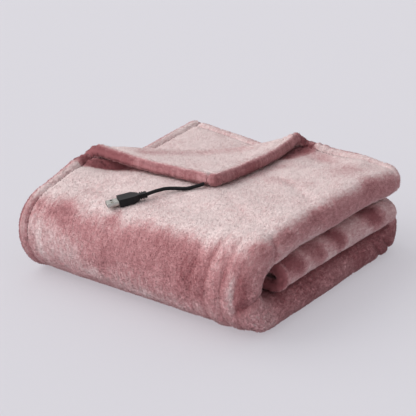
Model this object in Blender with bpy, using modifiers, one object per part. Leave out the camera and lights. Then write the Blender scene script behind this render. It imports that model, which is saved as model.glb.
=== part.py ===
"""A plush electric throw, folded into a bundle, with its short lead and plug.

The throw is one piece of thick double cloth. It is doubled across its width, with the fold on the
right and both long hems on the left, and the doubled strip is folded in three: the lower run wraps
the inner one at the back, and the upper run wraps both at the front. The upper layer's back left
corner is turned over, and the lead comes out of its hem.

X runs across the bundle, Y from the round front nose to the back, Z up, in metres. The origin is
under the middle of the bundle, on the surface it rests on.
"""
import math
import bpy
import bmesh
from mathutils import Matrix, Vector

BUNDLE_MIDDLE = Vector((0.0049, -0.0018, 0.0))    # taken off every place below

# Cloth
LEFT_X = -0.150           # both long hems
RIGHT_X = 0.160           # outside of the doubled edge
PLY = 0.010               # thickness of the cloth
HEM = 0.013               # thickness of the rolled hem
HEM_WIDTH = 0.013
LAYER = 0.0095            # from the middle of the doubled strip to the middle of each layer
EDGE_LAYER = 0.0125       # the same at the doubled edge, which stands fuller
EDGE_REACH = 0.060        # how far from the doubled edge it starts to fill out
TURN_X = RIGHT_X - PLY / 2 - EDGE_LAYER
FRONT_Y = -0.165          # outside of the nose and of the back turn
BACK_Y = 0.164

# The strip's runs in the order in which the cloth passes through them, at the strip's middle
RUNS = [
    {"name": "inner", "start_y": -0.1050, "end_y": 0.1305, "height": 0.0525},
    {"name": "lower", "start_y": 0.1305, "end_y": -0.1155, "height": 0.0145},
    {"name": "upper", "start_y": -0.1155, "end_y": 0.1560, "height": 0.0860},
]
INNER_SQUEEZE = 0.22      # the inner run lies this much flatter than the others
UPPER_START = RUNS[2]["start_y"]
UPPER_LENGTH = RUNS[2]["end_y"] - UPPER_START
UPPER_RISE = 0.0080       # the upper run climbs this much from the nose to its full height
RISE_LENGTH = 0.0560
SLIP = 0.034              # how far the top layer's hem falls short at the left
SAG = 0.0045              # dip of the upper run between its hems
CORNER_LIFT = 0.0085      # the second layer's back left corner stands up a little
CORNER_REACH = 0.130
ROUNDING = 0.045          # the bundle's right corners are rounded, seen from above
ROUNDING_DEPTH = 0.22
END_DROOP = 0.0090        # the bundle sinks towards its right back corner, most at the top
FULL_HEIGHT = 0.108
DROOP_REACH = 0.110
NOSE_DROOP = 0.10         # the nose is lower towards its left end
NOSE_MIDDLE = Vector((-0.1290, 0.0500))
NOSE_REACH = 0.060

# The turned corner of the top layer: its fold runs from the left hem to the back hem
FOLD_START = Vector((LEFT_X, -0.0800))
FOLD_END = Vector((0.0560, 0.1430))
FOLD_LENGTH = (FOLD_END - FOLD_START).length
FOLD_ALONG = (FOLD_END - FOLD_START).normalized()
FOLD_OUT = Vector((-FOLD_ALONG.y, FOLD_ALONG.x))
BEND_MIDDLE = 0.0066      # bend radius where the corner lies flat
BEND_HEM = 0.0118         # bend radius where the stiff hems cross the fold
CORNER_GAP = 0.0135       # between the middles of the turned corner and the layer under it
SETTLE_LENGTH = 0.050

# Grid lines: how many equal steps the cloth takes over each stretch
ACROSS_STRETCHES = [
    {"name": "upper hem", "length": HEM_WIDTH, "steps": 2},
    {"name": "turned corner", "length": 0.195, "steps": 19},
    {"name": "upper right", "length": TURN_X - LEFT_X - HEM_WIDTH - 0.195, "steps": 4},
    {"name": "doubled edge", "length": math.pi * EDGE_LAYER, "steps": 6},
    {"name": "second layer", "length": TURN_X - LEFT_X - HEM_WIDTH, "steps": 8},
    {"name": "second hem", "length": HEM_WIDTH, "steps": 1},
]
BACK_TURN = math.pi * (RUNS[0]["height"] - RUNS[1]["height"]) / 2
NOSE_TURN = math.pi * (RUNS[2]["height"] - RUNS[1]["height"]) / 2
ALONG_STRETCHES = [
    {"name": "inner hem", "length": HEM_WIDTH, "steps": 1},
    {"name": "inner run", "length": RUNS[0]["end_y"] - RUNS[0]["start_y"] - HEM_WIDTH, "steps": 5},
    {"name": "back turn", "length": BACK_TURN, "steps": 7},
    {"name": "lower run", "length": RUNS[1]["start_y"] - RUNS[1]["end_y"], "steps": 5},
    {"name": "nose", "length": NOSE_TURN, "steps": 10},
    {"name": "upper front", "length": 0.036, "steps": 2},
    {"name": "turned corner", "length": UPPER_LENGTH - HEM_WIDTH - 0.036, "steps": 21},
    {"name": "upper hem", "length": HEM_WIDTH, "steps": 2},
]

# Lead and plug
LEAD_RADIUS = 0.0020
LEAD_BEND_STEPS = 2
LEAD_POINT_GAP = 0.0045
LEAD_ROUTE = [
    (0.0224, -0.0524, 0.1113),
    (0.0183, -0.0631, 0.1105),
    (0.0130, -0.0722, 0.1097),
    (0.0040, -0.0795, 0.1101),
    (-0.0030, -0.0870, 0.1104),
    (-0.0083, -0.0966, 0.1095),
    (-0.0128, -0.1064, 0.1079),
]
PLUG_PLACE = Vector((-0.0130, -0.1067, 0.1078))    # where the lead enters the strain relief
PLUG_TURN = math.radians(233.5)                     # heading of the plug, from +X
PLUG_DIP = math.radians(9.0)
RELIEF = {"length": 0.0085, "width": 0.0078, "height": 0.0062}
GRIP = {"length": 0.0228, "width": 0.0160, "height": 0.0082, "shoulder": 0.0070}
SHELL = {"length": 0.0125, "width": 0.0120, "height": 0.0045, "wall": 0.0004}
TONGUE = {"length": 0.0112, "width": 0.0104, "height": 0.0016}
CLEARANCE = 0.0003
HOLE = {"size": 0.0018, "apart": 0.0048, "from_grip": 0.0070}


def smooth(value):
    """Ease from 0 to 1 as value goes from 0 to 1."""
    value = min(max(value, 0.0), 1.0)
    return value * value * (3 - 2 * value)


def across_strip(distance):
    """Section of the doubled strip: X, offset from the strip's middle, and how much fuller it is."""
    flat = TURN_X - LEFT_X
    turn = math.pi * EDGE_LAYER
    if flat <= distance <= flat + turn:
        angle = (distance - flat) / EDGE_LAYER
        x = TURN_X + EDGE_LAYER * math.sin(angle)
        return x, EDGE_LAYER * math.cos(angle), EDGE_LAYER - LAYER
    upper = distance < flat
    x = LEFT_X + distance if upper else TURN_X - (distance - flat - turn)
    fuller = (EDGE_LAYER - LAYER) * smooth((x - TURN_X + EDGE_REACH) / EDGE_REACH)
    offset = LAYER + fuller
    return x, offset if upper else -offset, fuller


def along_runs(distance):
    """Middle line of the folded strip: run number, Y, Z, and the outward normal in Y and Z."""
    for number, run in enumerate(RUNS):
        heading = 1 if run["end_y"] > run["start_y"] else -1
        length = abs(run["end_y"] - run["start_y"])
        if distance <= length or number == len(RUNS) - 1:
            return number, run["start_y"] + heading * distance, run["height"], 0.0, heading
        distance -= length
        radius = abs(RUNS[number + 1]["height"] - run["height"]) / 2
        if distance < math.pi * radius:
            angle = distance / radius
            out_y, out_z = heading * math.sin(angle), heading * math.cos(angle)
            centre_z = (RUNS[number + 1]["height"] + run["height"]) / 2
            return number, run["end_y"] + radius * out_y, centre_z + radius * out_z, out_y, out_z
        distance -= math.pi * radius


def upper_lift(x, y):
    """How far the upper run stands above its level line."""
    rise = UPPER_RISE * smooth((y - UPPER_START) / RISE_LENGTH)
    side = math.sin(math.pi * smooth((x - LEFT_X) / (RIGHT_X - LEFT_X)))
    depth = math.sin(math.pi * smooth((y - UPPER_START) / UPPER_LENGTH))
    return rise - SAG * side * depth


def top_layer(x, y):
    """Height of the top layer's middle."""
    return RUNS[2]["height"] + LAYER + upper_lift(x, y)


def turn_corner(x, y, z):
    """Carry a point of the top layer over the corner's fold."""
    from_start = Vector((x, y)) - FOLD_START
    past = from_start.dot(FOLD_OUT)
    if past <= 0:
        return x, y, z
    along = from_start.dot(FOLD_ALONG)
    toward_hem = abs(2 * min(max(along / FOLD_LENGTH, 0.0), 1.0) - 1)
    radius = BEND_MIDDLE + (BEND_HEM - BEND_MIDDLE) * toward_hem ** 2.5
    foot = FOLD_START + FOLD_ALONG * along
    if past < math.pi * radius:
        angle = past / radius
        place = foot + FOLD_OUT * radius * math.sin(angle)
        return place.x, place.y, top_layer(foot.x, foot.y) + radius * (1 - math.cos(angle))
    beyond = past - math.pi * radius
    place = foot - FOLD_OUT * beyond
    settled = smooth(beyond / SETTLE_LENGTH)
    height = 2 * radius + (CORNER_GAP - 2 * radius) * settled
    return place.x, place.y, top_layer(place.x, place.y) + height


def soften(x, y, z):
    """Round the bundle's right corners and let the nose's left end and the back corner sink."""
    side = (x - RIGHT_X + ROUNDING) / ROUNDING
    if side > 0:
        middle = (BACK_Y + FRONT_Y) / 2
        reach = (BACK_Y - FRONT_Y) / 2
        depth = (abs(y - middle) - reach + ROUNDING) / ROUNDING
        if depth > 0:
            x -= ROUNDING * ROUNDING_DEPTH * side * depth ** 2
            y -= math.copysign(ROUNDING * ROUNDING_DEPTH * depth * side ** 2, y - middle)
    from_end = math.hypot(x - RIGHT_X, y - BACK_Y)
    z -= END_DROOP * (z / FULL_HEIGHT) ** 2 * smooth(1 - from_end / DROOP_REACH)
    if z > NOSE_MIDDLE.y:
        low = smooth(1 - abs(y - NOSE_MIDDLE.x) / NOSE_REACH) * smooth(-x / abs(LEFT_X))
        z -= (z - NOSE_MIDDLE.y) * NOSE_DROOP * low
    return x, y, z


def drape(across, along):
    """Place of a point of the flat throw in the folded bundle."""
    x, offset, fuller = across_strip(across)
    run, y, z, out_y, out_z = along_runs(along)
    upper = run == 2
    if run == 0:
        offset *= 1 - INNER_SQUEEZE * (1 + out_z) / 2
    z += fuller * (-smooth((y - UPPER_START) / RISE_LENGTH) if upper else (1 - out_z) / 2)
    if upper:
        short = SLIP * (TURN_X - x) / (TURN_X - LEFT_X) if offset > 0 else 0.0
        y = UPPER_START + (y - UPPER_START) * (1 - max(short, 0.0) / UPPER_LENGTH)
    y += out_y * offset
    z += out_z * offset
    if upper:
        z += upper_lift(x, y)
        if offset > 0 and across < TURN_X - LEFT_X:
            x, y, z = turn_corner(x, y, z)
        elif offset < 0:
            to_corner = math.hypot(x - LEFT_X, y - UPPER_START - UPPER_LENGTH)
            z += CORNER_LIFT * smooth(1 - to_corner / CORNER_REACH)
    return Vector(soften(x, y, z)) - BUNDLE_MIDDLE


def lines(stretches):
    """Distances of the grid lines over all stretches."""
    places = [0.0]
    for stretch in stretches:
        start = places[-1]
        for step in range(1, stretch["steps"] + 1):
            places.append(start + stretch["length"] * step / stretch["steps"])
    return places


def make_material(name, colour, roughness, metallic=0.0):
    material = bpy.data.materials.new(name)
    material.use_nodes = True
    shader = material.node_tree.nodes["Principled BSDF"]
    shader.inputs["Base Color"].default_value = (*colour, 1.0)
    shader.inputs["Roughness"].default_value = roughness
    shader.inputs["Metallic"].default_value = metallic
    material.diffuse_color = (*colour, 1.0)
    return material


def add_object(name, data, material, collection):
    item = bpy.data.objects.new(name, data)
    data.materials.append(material)
    collection.objects.link(item)
    return item


def build_cloth(collection, material):
    across_lines = lines(ACROSS_STRETCHES)
    along_lines = lines(ALONG_STRETCHES)
    mesh = bpy.data.meshes.new("blanket_cloth")
    grid = bmesh.new()
    bmesh.ops.create_grid(grid, x_segments=len(across_lines) - 1, y_segments=len(along_lines) - 1,
                          size=0.5)
    hem_points = []
    for vert in grid.verts:
        column = round((vert.co.x + 0.5) * (len(across_lines) - 1))
        row = round((vert.co.y + 0.5) * (len(along_lines) - 1))
        across, along = across_lines[column], along_lines[row]
        vert.co = drape(across, along)
        vert.co.z = max(vert.co.z, PLY / 2)
        edge = min(across, across_lines[-1] - across, along, along_lines[-1] - along)
        if edge < HEM_WIDTH * 0.9:
            hem_points.append(vert.index)
            vert.co.z = max(vert.co.z, HEM / 2)
    grid.to_mesh(mesh)
    grid.free()
    cloth = add_object("blanket_cloth", mesh, material, collection)
    hem = cloth.vertex_groups.new(name="hem")
    hem.add(hem_points, 1.0, "REPLACE")
    body = cloth.modifiers.new("body", "SOLIDIFY")
    body.thickness = HEM
    body.offset = 0.0
    body.vertex_group = "hem"
    body.thickness_vertex_group = PLY / HEM
    mesh.shade_smooth()
    return cloth


def smooth_route(points, gap):
    """Points about a gap apart on one smooth curve through the route's own points."""
    guide = [Vector(point) - BUNDLE_MIDDLE for point in points]
    guide = [2 * guide[0] - guide[1]] + guide + [2 * guide[-1] - guide[-2]]
    route = []
    for first, start, end, last in zip(guide, guide[1:], guide[2:], guide[3:]):
        steps = max(1, round((end - start).length / gap))
        for step in range(steps):
            t = step / steps
            route.append(0.5 * (2 * start + (end - first) * t
                                + (2 * first - 5 * start + 4 * end - last) * t ** 2
                                + (3 * start - first - 3 * end + last) * t ** 3))
    return route + [guide[-2]]


def build_lead(collection, material):
    route = smooth_route(LEAD_ROUTE, LEAD_POINT_GAP)
    curve = bpy.data.curves.new("power_cord", "CURVE")
    curve.dimensions = "3D"
    curve.bevel_depth = LEAD_RADIUS
    curve.bevel_resolution = LEAD_BEND_STEPS
    curve.use_fill_caps = True
    spline = curve.splines.new("POLY")
    spline.points.add(len(route) - 1)
    for point, place in zip(spline.points, route):
        point.co = (*place, 1.0)
    return add_object("power_cord", curve, material, collection)


def plug_frame():
    """The plug's own axes: X runs from the strain relief to the metal shell, Z is its top."""
    turn = Matrix.Rotation(PLUG_TURN, 4, "Z") @ Matrix.Rotation(PLUG_DIP, 4, "Y")
    return Matrix.Translation(PLUG_PLACE - BUNDLE_MIDDLE) @ turn


def box(bm, start, length, width, height):
    """A block along +X from start, in the plug's axes."""
    size = Matrix.Diagonal((length, width, height, 1.0))
    place = Matrix.Translation((start + length / 2, 0.0, 0.0))
    return bmesh.ops.create_cube(bm, size=1.0, matrix=place @ size)["verts"]


def add_mesh(name, bm, material, collection):
    mesh = bpy.data.meshes.new(name)
    bmesh.ops.transform(bm, matrix=plug_frame(), verts=bm.verts)
    bmesh.ops.recalc_face_normals(bm, faces=bm.faces)
    bm.to_mesh(mesh)
    bm.free()
    return add_object(name, mesh, material, collection)


def build_grip(collection, material):
    """The moulded grip: a flat block with drawn-in shoulders, stepping down to the relief."""
    bm = bmesh.new()
    relief = RELIEF["length"]
    box(bm, 0.0, relief, RELIEF["width"], RELIEF["height"])
    end = [face for face in bm.faces if face.normal.x > 0.9]
    shoulder = bmesh.ops.extrude_face_region(bm, geom=end)["geom"]
    bmesh.ops.delete(bm, geom=end, context="FACES")
    for vert in [item for item in shoulder if isinstance(item, bmesh.types.BMVert)]:
        vert.co.x = relief + GRIP["shoulder"]
        vert.co.y = math.copysign(GRIP["width"] / 2, vert.co.y)
        vert.co.z = math.copysign(GRIP["height"] / 2, vert.co.z)
    end = [face for face in bm.faces if face.calc_center_median().x > relief + GRIP["shoulder"] * 0.9]
    front = bmesh.ops.extrude_face_region(bm, geom=end)["geom"]
    bmesh.ops.delete(bm, geom=end, context="FACES")
    for vert in [item for item in front if isinstance(item, bmesh.types.BMVert)]:
        vert.co.x = relief + GRIP["length"]
    grip = add_mesh("plug_overmould", bm, material, collection)
    rounding = grip.modifiers.new("rounding", "BEVEL")
    rounding.width = 0.0010
    rounding.segments = 2
    rounding.limit_method = "ANGLE"
    rounding.angle_limit = math.radians(30)
    return grip


def build_shell(collection, cutters, material):
    """The metal tube, open at the front, closed where it meets the grip, with two square holes."""
    start = RELIEF["length"] + GRIP["length"] + CLEARANCE
    bm = bmesh.new()
    box(bm, start, SHELL["length"], SHELL["width"], SHELL["height"])
    bm.faces.ensure_lookup_table()
    bmesh.ops.delete(bm, geom=[face for face in bm.faces if face.normal.x > 0.9], context="FACES_ONLY")
    shell = add_mesh("plug_shell", bm, material, collection)
    wall = shell.modifiers.new("wall", "SOLIDIFY")
    wall.thickness = SHELL["wall"]
    wall.offset = -1.0
    wall.use_even_offset = True
    for side in (-1, 1):
        bm = bmesh.new()
        box(bm, start + HOLE["from_grip"], HOLE["size"], HOLE["size"], SHELL["height"] * 2)
        bmesh.ops.translate(bm, verts=bm.verts, vec=(0, side * HOLE["apart"] / 2, SHELL["height"]))
        cutter = add_mesh("hole_cutter_%d" % side, bm, material, cutters)
        cutter.hide_render = True
        cutter.display_type = "WIRE"
        hole = shell.modifiers.new("hole", "BOOLEAN")
        hole.object = cutter
        hole.operation = "DIFFERENCE"
    return shell


def build_tongue(collection, material):
    """The flat insulating tongue inside the metal tube, in its lower half."""
    start = RELIEF["length"] + GRIP["length"] + CLEARANCE * 2 + SHELL["wall"]
    bm = bmesh.new()
    box(bm, start, TONGUE["length"], TONGUE["width"], TONGUE["height"])
    drop = SHELL["height"] / 2 - SHELL["wall"] - CLEARANCE - TONGUE["height"] / 2
    bmesh.ops.translate(bm, verts=bm.verts, vec=(0, 0, -drop))
    return add_mesh("plug_tongue", bm, material, collection)


def main():
    for item in list(bpy.data.objects):
        bpy.data.objects.remove(item, do_unlink=True)
    collection = bpy.data.collections.new("electric_heated_blanket")
    cutters = bpy.data.collections.new("cutters")
    bpy.context.scene.collection.children.link(collection)
    bpy.context.scene.collection.children.link(cutters)
    build_cloth(collection, make_material("rose_plush", (0.60, 0.33, 0.34), 0.95))
    build_lead(collection, make_material("lead_jacket", (0.015, 0.015, 0.017), 0.50))
    build_grip(collection, make_material("moulded_grip", (0.02, 0.02, 0.022), 0.45))
    build_shell(collection, cutters, make_material("plated_steel", (0.72, 0.72, 0.70), 0.30, 1.0))
    build_tongue(collection, make_material("tongue_plastic", (0.80, 0.79, 0.74), 0.50))


main()
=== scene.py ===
import math
import bpy
import bmesh
import numpy as np
from mathutils import Matrix, Vector, noise
from mathutils.bvhtree import BVHTree


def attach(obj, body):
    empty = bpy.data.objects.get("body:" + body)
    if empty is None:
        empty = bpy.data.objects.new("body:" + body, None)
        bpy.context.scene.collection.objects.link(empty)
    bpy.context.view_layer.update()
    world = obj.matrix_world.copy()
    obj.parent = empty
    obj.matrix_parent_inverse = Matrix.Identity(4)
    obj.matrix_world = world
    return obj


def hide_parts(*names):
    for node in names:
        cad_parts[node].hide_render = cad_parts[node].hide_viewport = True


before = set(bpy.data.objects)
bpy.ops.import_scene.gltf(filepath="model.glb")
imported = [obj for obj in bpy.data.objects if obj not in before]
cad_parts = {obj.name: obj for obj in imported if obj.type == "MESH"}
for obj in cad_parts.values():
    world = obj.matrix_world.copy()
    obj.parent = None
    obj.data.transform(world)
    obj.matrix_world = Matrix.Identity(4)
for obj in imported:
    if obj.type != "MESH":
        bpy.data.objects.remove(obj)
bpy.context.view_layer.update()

print("frame loaded:", len(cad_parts), "nodes")

# Where the pieces' own measures start from: they are laid out round the left hem's line
bundleMiddle = Vector((0.0049, -0.0018, 0.0))

# Camera, light and floor
view = {
    "azimuth": 36.567,        # degrees round from the front
    "height": 20.981,         # degrees above the floor
    "distance": 1.3255,
    "target": (-0.0465, 0.0430, 0.0400),
    "lens": 95.67,
    "floorSize": 14.0,
    "floorDrop": 0.0004,      # how far below the bundle the floor lies
    "floorRoughness": 0.85,
    "floorColour": (0.325, 0.318, 0.338),
    "floorGlow": (0.350, 0.343, 0.368),
    "skyColour": (0.97, 0.97, 1.0),
    "skyLight": 0.56,
}
lamps = [
    {"name": "key", "from": (-1.0, -0.30, 1.00), "spread": 55.0, "strength": 0.95,
     "colour": (1.0, 0.99, 0.97)},
    {"name": "front", "from": (-0.45, -1.0, 0.60), "spread": 60.0, "strength": 1.16,
     "colour": (1.0, 1.0, 1.0)},
    {"name": "back", "from": (-0.5, 1.0, 1.0), "spread": 70.0, "strength": 0.32,
     "colour": (1.0, 1.0, 1.0)},
]


def makeStage():
    scene = bpy.context.scene
    scene.view_settings.view_transform = "Standard"
    turn, tilt = math.radians(view["azimuth"]), math.radians(view["height"])
    back = Vector((math.sin(turn) * math.cos(tilt), -math.cos(turn) * math.cos(tilt), math.sin(tilt)))
    camera = addObject("camera", bpy.data.cameras.new("camera"))
    camera.data.lens = view["lens"]
    camera.data.sensor_width = 36.0
    camera.location = Vector(view["target"]) + back * view["distance"]
    camera.rotation_euler = (math.pi / 2 - tilt, 0.0, turn)
    scene.camera = camera
    for lamp in lamps:
        light = bpy.data.lights.new(lamp["name"], "SUN")
        light.energy = lamp["strength"]
        light.angle = math.radians(lamp["spread"])
        light.color = lamp["colour"]
        holder = addObject(lamp["name"], light)
        holder.location = lamp["from"]
        holder.rotation_euler = (-Vector(lamp["from"])).to_track_quat("-Z", "Y").to_euler()
    world = bpy.data.worlds.new("studio")
    world.use_nodes = True
    sky = world.node_tree.nodes["Background"]
    sky.inputs["Color"].default_value = (*view["skyColour"], 1.0)
    sky.inputs["Strength"].default_value = view["skyLight"]
    scene.world = world
    grid = bmesh.new()
    bmesh.ops.create_grid(grid, x_segments=1, y_segments=1, size=view["floorSize"] / 2)
    bmesh.ops.translate(grid, verts=grid.verts, vec=(0, 0, -view["floorDrop"]))
    floor = keepMesh("floor", grid)
    paper = bpy.data.materials.new("studio_paper")
    paper.use_nodes = True
    shader = paper.node_tree.nodes["Principled BSDF"]
    shader.inputs["Base Color"].default_value = (*view["floorColour"], 1.0)
    shader.inputs["Roughness"].default_value = view["floorRoughness"]
    # lit from below as well, as a light table is, so that its shadows stay pale
    shader.inputs["Emission Color"].default_value = (*view["floorGlow"], 1.0)
    shader.inputs["Emission Strength"].default_value = 1.0
    floor.data.materials.append(paper)


def addObject(name, data):
    made = bpy.data.objects.new(name, data)
    bpy.context.scene.collection.objects.link(made)
    return made


def keepMesh(name, bm):
    mesh = bpy.data.meshes.new(name)
    bm.to_mesh(mesh)
    bm.free()
    return addObject(name, mesh)


# Shader maths
class Flow:
    # a socket in a material, used like a number
    def __init__(self, tree, socket):
        self.tree = tree
        self.socket = socket

    def node(self, kind, settings=None, outlet=0, **inputs):
        made = self.tree.nodes.new("ShaderNode" + kind)
        for key, value in (settings or {}).items():
            if key == "stops":
                ramp = made.color_ramp
                while len(ramp.elements) < len(value):
                    ramp.elements.new(0.5)
                for element, (place, colour) in zip(ramp.elements, value):
                    element.position = place
                    element.color = colour if len(colour) == 4 else (*colour, 1.0)
            else:
                setattr(made, key, value)
        for key, value in inputs.items():
            slot = made.inputs[int(key[1:])] if key[0] == "i" and key[1:].isdigit() else made.inputs[key]
            if isinstance(value, Flow):
                self.tree.links.new(value.socket, slot)
            elif hasattr(value, "__len__") and len(value) == 3 and slot.type == "RGBA":
                slot.default_value = (*value, 1.0)
            else:
                slot.default_value = value
        return Flow(self.tree, made.outputs[outlet])

    def math(self, operation, *values):
        inputs = {"i%d" % number: value for number, value in enumerate(values)}
        return self.node("Math", {"operation": operation}, **inputs)

    def __add__(self, other):
        return self.math("ADD", self, other)

    def __radd__(self, other):
        return self.math("ADD", other, self)

    def __sub__(self, other):
        return self.math("SUBTRACT", self, other)

    def __rsub__(self, other):
        return self.math("SUBTRACT", other, self)

    def __mul__(self, other):
        return self.math("MULTIPLY", self, other)

    def __rmul__(self, other):
        return self.math("MULTIPLY", other, self)

    def between(self, low, high, start=0.0, end=1.0):
        # eases from start to end as the value goes from low to high
        return self.node("MapRange", {"interpolation_type": "SMOOTHSTEP"},
                         i0=self, i1=low, i2=high, i3=start, i4=end)

    def blend(self, first, second):
        # a colour that goes from first to second with this value
        return self.node("Mix", {"data_type": "RGBA"}, outlet=2, i0=self, i6=first, i7=second)

    def spread(self, size, detail, rough):
        # noise over this place, about 0.5, with lumps of this size
        return self.node("TexNoise", Vector=self, Scale=1 / size, Detail=detail, Roughness=rough)

    def stretched(self, factors):
        return self.node("VectorMath", {"operation": "MULTIPLY"}, i0=self, i1=factors)

    def bump(self, strength, distance):
        return self.node("Bump", Strength=strength, Distance=distance, Height=self)


def startMaterial(name, constants):
    # the constants are set on the shader's own sockets
    material = bpy.data.materials.new(name)
    material.use_nodes = True
    shader = material.node_tree.nodes["Principled BSDF"]
    for socket, value in constants.items():
        shader.inputs[socket].default_value = value
    coordinates = material.node_tree.nodes.new("ShaderNodeTexCoord")
    return material, shader, Flow(material.node_tree, coordinates.outputs["Object"])


def wire(shader, name, flow):
    flow.tree.links.new(flow.socket, shader.inputs[name])


# The throw
cloth = {
    "leftX": -0.150,
    "rightX": 0.160,
    "frontY": -0.165,
    "backY": 0.164,
    "ply": 0.0100,            # thickness of the cloth
    "hem": 0.0136,            # thickness of the rolled hem
    "hemWidth": 0.013,
    "layer": 0.0095,          # from the middle of the doubled strip to the middle of each layer
    "edgeLayer": 0.0125,      # the same at the doubled edge
    "edgeReach": 0.060,
    "innerSqueeze": 0.22,
    "upperRise": 0.0080,
    "riseLength": 0.0560,
    "slip": 0.034,            # how far the top layer's hem falls short at the left
    "sag": 0.0045,
    "cornerLift": 0.0130,
    "cornerReach": 0.150,
    "rounding": 0.045,
    "roundingDepth": 0.22,
    "endDroop": 0.0090,
    "fullHeight": 0.108,
    "droopReach": 0.110,
    "noseDroop": 0.10,
    "noseMiddle": (-0.1290, 0.0500),
    "noseReach": 0.060,
    "foldStart": (-0.150, -0.0800),
    "foldEnd": (0.0560, 0.1430),
    "bendMiddle": (0.0066, 0.0066),   # the fold's half depth and half height in its middle
    "bendLeftHem": (0.0165, 0.0078),  # and where it crosses the stiff hems
    "bendBackHem": (0.0160, 0.0100),
    "cornerGap": 0.0137,
    "settleFrom": 0.012,
    "settleLength": 0.050,
    "leftHemRise": 0.0036,    # how far the hems lift before the fold
    "backHemRise": 0.0020,
    "hemRiseReach": 0.060,
    "foldSink": 0.0055,       # how far the fold sinks in its middle
    "foldSinkReach": 0.070,
    "dipEase": 0.008,         # how close to the fold the dips under its curls begin
    "cornerRound": 0.013,     # how round the throw's own corners are cut
    "unevenness": 0.0016,
    "unevenWaves": ((17, 17, 3.1, 0.75), (48, 48, 7.7, 0.35)),
    # painted shade in the creases' troughs and painted light on their ridges, in step with their depth
    "creasePaintedShade": 58.0,      # how much darker the pile is, for each metre a crease goes in
}
runs = [
    {"name": "inner", "startY": -0.1050, "endY": 0.1305, "height": 0.0525},
    {"name": "lower", "startY": 0.1305, "endY": -0.1155, "height": 0.0145},
    {"name": "upper", "startY": -0.1155, "endY": 0.1560, "height": 0.0860},
]
dips = [
    {"name": "under the left curl", "middle": (-0.112, -0.052), "reach": 0.052, "depth": 0.0095},
    {"name": "under the right curl", "middle": (0.076, 0.112), "reach": 0.046, "depth": 0.0070},
]
turnX = cloth["rightX"] - cloth["ply"] / 2 - cloth["edgeLayer"]
layerWidth = turnX - cloth["leftX"]
edgeTurn = math.pi * cloth["edgeLayer"]
clothWidth = 2 * layerWidth + edgeTurn
runLengths = [abs(run["endY"] - run["startY"]) for run in runs]
turnLengths = [math.pi * abs(last["height"] - run["height"]) / 2 for run, last in zip(runs, runs[1:])]
backTurnAt = runLengths[0]
lowerAt = backTurnAt + turnLengths[0]
noseAt = lowerAt + runLengths[1]
upperAt = noseAt + turnLengths[1]
clothLength = upperAt + runLengths[2]
bakeMargin = 0.006
bakeSpan = 1.02 * clothLength
upperStart = runs[2]["startY"]
foldStart = Vector(cloth["foldStart"])
foldAlong = (Vector(cloth["foldEnd"]) - foldStart).normalized()
foldOut = Vector((-foldAlong.y, foldAlong.x))
foldLength = (Vector(cloth["foldEnd"]) - foldStart).length


def smooth(value):
    value = min(max(value, 0.0), 1.0)
    return value * value * (3 - 2 * value)


def acrossStrip(distance):
    # section of the doubled strip: x, offset from its middle, and how much fuller it is there
    full = cloth["edgeLayer"] - cloth["layer"]
    if layerWidth <= distance <= layerWidth + edgeTurn:
        angle = (distance - layerWidth) / cloth["edgeLayer"]
        x = turnX + cloth["edgeLayer"] * math.sin(angle)
        return x, cloth["edgeLayer"] * math.cos(angle), full
    upper = distance < layerWidth
    x = cloth["leftX"] + distance if upper else turnX - (distance - layerWidth - edgeTurn)
    fuller = full * smooth((x - turnX + cloth["edgeReach"]) / cloth["edgeReach"])
    offset = cloth["layer"] + fuller
    return x, offset if upper else -offset, fuller


def alongRuns(distance):
    # middle line of the folded strip: run, y, z and the outward normal in y and z
    for number, run in enumerate(runs):
        heading = 1 if run["endY"] > run["startY"] else -1
        length = runLengths[number]
        if distance <= length or number == len(runs) - 1:
            return number, run["startY"] + heading * distance, run["height"], 0.0, heading
        distance -= length
        radius = abs(runs[number + 1]["height"] - run["height"]) / 2
        if distance < math.pi * radius:
            angle = distance / radius
            outY, outZ = heading * math.sin(angle), heading * math.cos(angle)
            middle = (runs[number + 1]["height"] + run["height"]) / 2
            return number, run["endY"] + radius * outY, middle + radius * outZ, outY, outZ
        distance -= math.pi * radius


def upperLift(x, y):
    rise = cloth["upperRise"] * smooth((y - upperStart) / cloth["riseLength"])
    width = cloth["rightX"] - cloth["leftX"]
    side = math.sin(math.pi * smooth((x - cloth["leftX"]) / width))
    depth = math.sin(math.pi * smooth((y - upperStart) / runLengths[2]))
    return rise - cloth["sag"] * side * depth


def topLayer(x, y):
    return runs[2]["height"] + cloth["layer"] + upperLift(x, y)


def foldSink(share, away):
    middle = smooth(share / 0.6) * smooth((1 - share) / 0.35)
    return cloth["foldSink"] * middle * smooth(1 - away / cloth["foldSinkReach"])


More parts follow.
